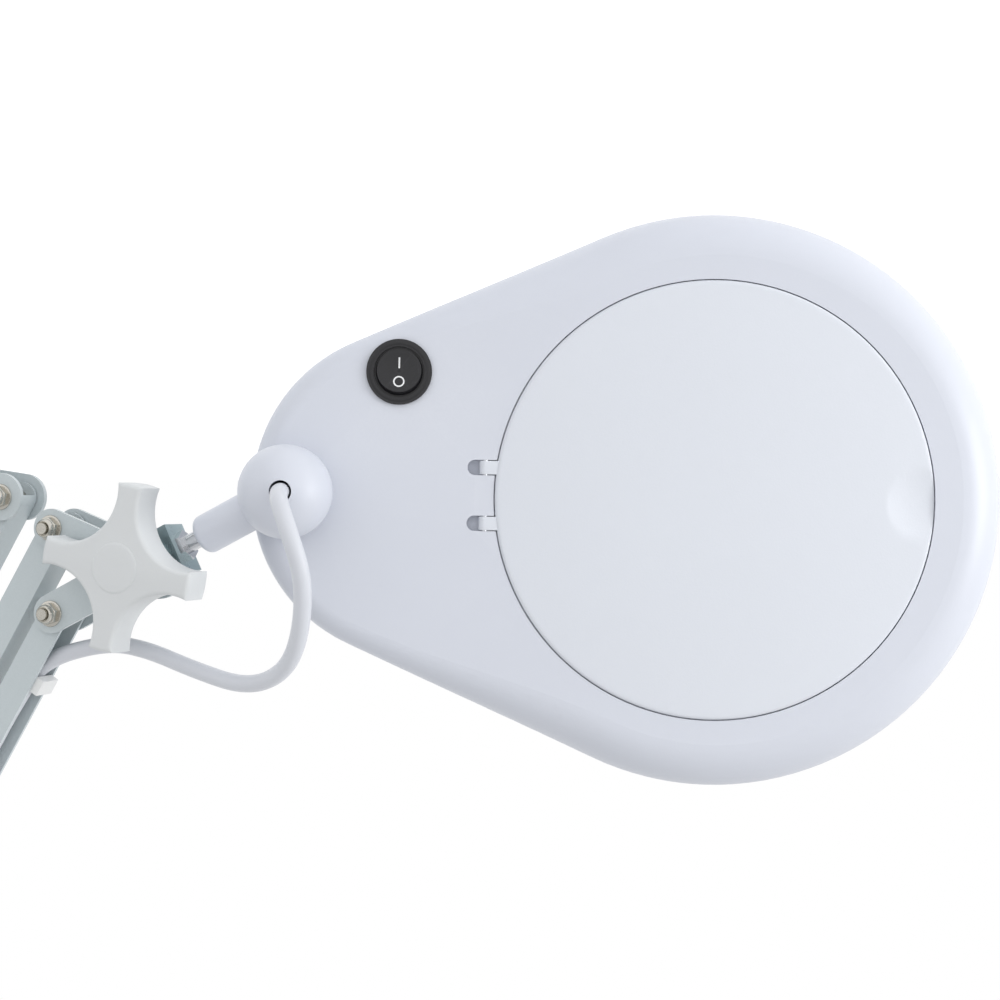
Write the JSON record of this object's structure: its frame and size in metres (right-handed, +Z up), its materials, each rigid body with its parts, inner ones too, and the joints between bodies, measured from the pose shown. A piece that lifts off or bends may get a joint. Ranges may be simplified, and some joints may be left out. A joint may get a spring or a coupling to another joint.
{
  "type": "magnifying lamp",
  "caption": "Table-clamp magnifying lamp with a covered lens in a pear-shaped head, swivel neck, star knob and folding parallelogram arms.",
  "frame": {"origin": "point of the upper jaw's underside on the swivel pin's axis, at table-top level", "axes": "+Z up along the swivel pin, +X over the table, the arms move in the plane Y = 0, the knob is on the -Y side"},
  "size_m": [0.5813, 0.257, 0.5604],
  "materials": {
    "head_shell": "satin cool white moulding",
    "cover_shell": "fine matt texture",
    "arm_paint": "pale grey-green powder coat",
    "clamp_paint": "pale grey-green powder coat",
    "zinc_plate": "zinc plated",
    "bright_steel": "bright",
    "nickel_fasteners": "nickel plated",
    "spring_steel": "oiled spring wire",
    "knob_plastic": "matt moulded",
    "brass_insert": "turned",
    "black_plastic": "satin black",
    "clip_plastic": "natural nylon",
    "lens_glass": "polished",
    "ring_plastic": "opal white",
    "circuit_board": "white solder mask",
    "led_chip": "phosphor",
    "flex_sheath": "soft white sheath",
    "plug_plastic": "moulded"
  },
  "bodies": {
    "clamp": {"clamp_frame": "clamp_paint", "jaw_pad": "black_plastic", "mains_lead": "flex_sheath", "lead_coil": "flex_sheath", "plug": "plug_plastic"},
    "pressure_pad": {"pressure_pad": "black_plastic"},
    "clamp_screw": {"clamp_screw": "bright_steel", "clamp_grip": "knob_plastic"},
    "base_bracket": {"base_bracket": "arm_paint", "base_pin": "bright_steel", "base_bolts": "nickel_fasteners", "base_nuts": "nickel_fasteners"},
    "lower_bar_b": {"lower_bar_b": "arm_paint", "lower_flex": "flex_sheath", "lower_flex_clips": "clip_plastic"},
    "lower_bar_a": {"lower_bar_a": "arm_paint", "lower_spring": "spring_steel", "lower_spring_pin": "bright_steel"},
    "elbow": {"elbow_plate_front": "arm_paint", "elbow_plate_rear": "arm_paint", "elbow_spacer": "nickel_fasteners", "elbow_bolts": "nickel_fasteners", "elbow_nuts": "nickel_fasteners", "elbow_flex": "flex_sheath"},
    "upper_bar_b": {"upper_bar_b": "arm_paint", "upper_flex": "flex_sheath", "upper_flex_clips": "clip_plastic"},
    "upper_bar_a": {"upper_bar_a": "arm_paint", "upper_spring": "spring_steel", "upper_spring_pin": "bright_steel"},
    "head_bracket": {"head_bracket_front": "arm_paint", "head_bracket_rear": "arm_paint", "bracket_bolts": "nickel_fasteners", "bracket_nuts": "nickel_fasteners", "tilt_bolt": "bright_steel", "tilt_washer": "nickel_fasteners", "tilt_spacer": "nickel_fasteners", "head_flex": "flex_sheath"},
    "star_knob": {"star_knob": "knob_plastic", "knob_cap": "knob_plastic", "knob_insert": "brass_insert"},
    "neck": {"knuckle": "zinc_plate", "neck_rod": "bright_steel", "lock_nut": "bright_steel", "neck_ball": "head_shell", "swivel_stud": "bright_steel", "stud_nut": "bright_steel"},
    "head": {"top_housing": "head_shell", "bottom_housing": "head_shell", "housing_screws": "bright_steel", "lens": "lens_glass", "lens_ring": "ring_plastic", "led_board": "circuit_board", "leds": "led_chip", "diffuser": "ring_plastic", "driver_board": "circuit_board", "switch_body": "black_plastic", "cover_hinge_pin": "bright_steel"},
    "lens_cover": {"lens_cover": "cover_shell"},
    "rocker": {"rocker": "black_plastic"}
  },
  "joints": [
    {"name": "pad_lift", "type": "slide", "parent": "clamp", "child": "pressure_pad", "axis": [0, 0, 1], "range_m": [-0.012, 0.024]},
    {"name": "screw_turn", "type": "hinge", "parent": "pressure_pad", "child": "clamp_screw", "pos_m": [0.014, 0, -0.06], "axis": [0, 0, 1], "range_deg": [-2200, 4400]},
    {"name": "base_swivel", "type": "hinge", "parent": "clamp", "child": "base_bracket", "pos_m": [0, 0, 0.02], "axis": [0, 0, 1], "range_deg": [-90, 90], "deforming": ["mains_lead"]},
    {"name": "lower_arm", "type": "hinge", "parent": "base_bracket", "child": "lower_bar_b", "pos_m": [-0.02, 0, 0.052], "axis": [0, -1, 0], "range_deg": [0, 60], "deforming": ["mains_lead", "elbow_flex"]},
    {"name": "lower_link", "type": "hinge", "parent": "base_bracket", "child": "lower_bar_a", "pos_m": [-0.044, 0, 0.052], "axis": [0, -1, 0], "range_deg": [0, 60]},
    {"name": "elbow_level", "type": "hinge", "parent": "lower_bar_b", "child": "elbow", "pos_m": [0.17911, 0, 0.37566], "axis": [0, -1, 0], "range_deg": [-60, 0]},
    {"name": "upper_arm", "type": "hinge", "parent": "elbow", "child": "upper_bar_b", "pos_m": [0.13412, 0, 0.41736], "axis": [0, 1, 0], "range_deg": [0, 105], "deforming": ["elbow_flex", "head_flex"]},
    {"name": "upper_link", "type": "hinge", "parent": "elbow", "child": "upper_bar_a", "pos_m": [0.13412, 0, 0.38686], "axis": [0, 1, 0], "range_deg": [0, 105]},
    {"name": "bracket_level", "type": "hinge", "parent": "upper_bar_b", "child": "head_bracket", "pos_m": [-0.065, 0, 0.0937], "axis": [0, 1, 0], "range_deg": [-105, 0]},
    {"name": "knob_turn", "type": "hinge", "parent": "head_bracket", "child": "star_knob", "pos_m": [-0.1, 0, 0.0765], "axis": [0, -1, 0], "range_deg": [-180, 180]},
    {"name": "head_tilt", "type": "hinge", "parent": "head_bracket", "child": "neck", "pos_m": [-0.1, 0, 0.0765], "axis": [0, 1, 0], "range_deg": [-50, 60], "deforming": ["head_flex"]},
    {"name": "head_swivel", "type": "hinge", "parent": "neck", "child": "head", "pos_m": [-0.15393, 0, 0.0502], "axis": [-0.3502, -0.9367, 0], "range_deg": [-20, 75]},
    {"name": "cover_hinge", "type": "hinge", "parent": "head", "child": "lens_cover", "pos_m": [-0.2142, 0.03578, 0.05152], "axis": [0.018, -0.0067, 0.9998], "range_deg": [0, 110]},
    {"name": "rocker_press", "type": "hinge", "parent": "head", "child": "rocker", "pos_m": [-0.18582, 0.02581, 0.00814], "axis": [-0.9365, 0.3501, 0.0192], "range_deg": [0, 18]}
  ],
  "couplings": [
    {"joint": "screw_turn", "follows": "pad_lift", "rad_per_m": 3141.6},
    {"joint": "lower_link", "follows": "lower_arm", "ratio": 1},
    {"joint": "elbow_level", "follows": "lower_arm", "ratio": -1},
    {"joint": "upper_link", "follows": "upper_arm", "ratio": 1},
    {"joint": "bracket_level", "follows": "upper_arm", "ratio": -1}
  ]
}
